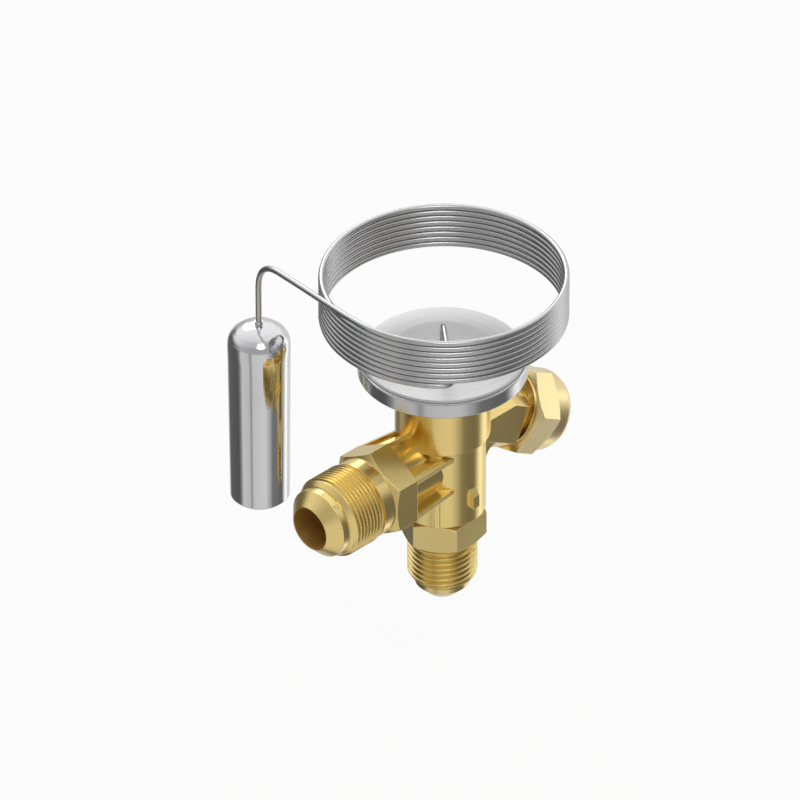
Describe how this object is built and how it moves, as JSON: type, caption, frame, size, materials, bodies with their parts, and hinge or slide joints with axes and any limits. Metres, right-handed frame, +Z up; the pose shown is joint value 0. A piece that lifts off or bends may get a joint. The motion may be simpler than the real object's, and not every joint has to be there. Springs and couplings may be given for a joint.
{
  "type": "expansion valve",
  "caption": "Angle-pattern refrigerant expansion valve: brass body with flare ends, capped setting spindle, diaphragm element, coiled capillary tube and sensing bulb.",
  "frame": {"origin": "on the main axis at the middle of the inlet flare thread", "axes": "+Z up the main axis to the diaphragm element, -X along the outlet, +X towards the capped setting spindle, +Y to the side where the capillary carries its bulb"},
  "size_m": [0.0776, 0.071, 0.0874],
  "materials": {
    "forged_brass": "forged and sandblasted, machined flats and threads",
    "turned_brass": "turned",
    "cap_brass": "machined hexagon",
    "copper_gasket": "dull copper",
    "hard_steel": "ground",
    "spring_steel": "drawn wire",
    "strainer_mesh": "fine woven mesh",
    "black_rubber": "moulded",
    "element_steel": "satin stainless, pressed",
    "capillary_steel": "drawn tube",
    "polished_steel": "polished"
  },
  "bodies": {
    "valve": {"valve_body": "forged_brass", "inlet_connector": "turned_brass", "inlet_gasket": "copper_gasket", "orifice_insert": "hard_steel", "spring_clip": "hard_steel", "cone_spring": "spring_steel", "strainer_ring": "turned_brass", "inlet_strainer": "strainer_mesh", "superheat_spring": "spring_steel", "spindle_gland": "turned_brass", "element_lower_housing": "element_steel", "diaphragm": "spring_steel", "element_upper_housing": "element_steel", "capillary_ferrule": "element_steel", "capillary_tail": "capillary_steel", "capillary_lead": "capillary_steel", "capillary_coil": "capillary_steel", "sensing_bulb": "polished_steel", "bulb_collar": "polished_steel"},
    "plunger": {"thrust_pad": "turned_brass", "push_rods": "hard_steel", "valve_cone": "hard_steel"},
    "seal_ring": {"spindle_o_ring": "black_rubber"},
    "spindle": {"setting_spindle": "hard_steel"},
    "seat": {"spring_seat": "turned_brass"},
    "cap_collar": {"cap_ring": "cap_brass"},
    "cap": {"cap_nut": "cap_brass"}
  },
  "joints": [
    {"name": "valve_stroke", "type": "slide", "parent": "valve", "child": "plunger", "axis": [0, 0, -1], "range_m": [0, 0.0008], "stiffness_N_per_m": 3700, "springref_m": -0.0005, "deforming": ["superheat_spring", "cone_spring"]},
    {"name": "spindle_travel", "type": "slide", "parent": "valve", "child": "seal_ring", "axis": [-0.866, 0, 0.5], "range_m": [-0.0012, 0.0012]},
    {"name": "spindle_turn", "type": "hinge", "parent": "seal_ring", "child": "spindle", "pos_m": [0, 0, 0.04195], "axis": [-0.866, 0, 0.5], "range_deg": [-577, 577]},
    {"name": "seat_lift", "type": "slide", "parent": "valve", "child": "seat", "axis": [0, 0, 1], "range_m": [-0.00061, 0.00061]},
    {"name": "cap_travel", "type": "slide", "parent": "valve", "child": "cap_collar", "axis": [0.866, 0, -0.5], "range_m": [0, 0.008]},
    {"name": "cap_turn", "type": "hinge", "parent": "cap_collar", "child": "cap", "pos_m": [0, 0, 0.04195], "axis": [0.866, 0, -0.5], "range_deg": [0, 2881]}
  ],
  "couplings": [
    {"joint": "spindle_turn", "follows": "spindle_travel", "rad_per_m": 8377.6},
    {"joint": "seat_lift", "follows": "spindle_travel", "ratio": 0.5},
    {"joint": "cap_turn", "follows": "cap_travel", "rad_per_m": 6283.2}
  ]
}
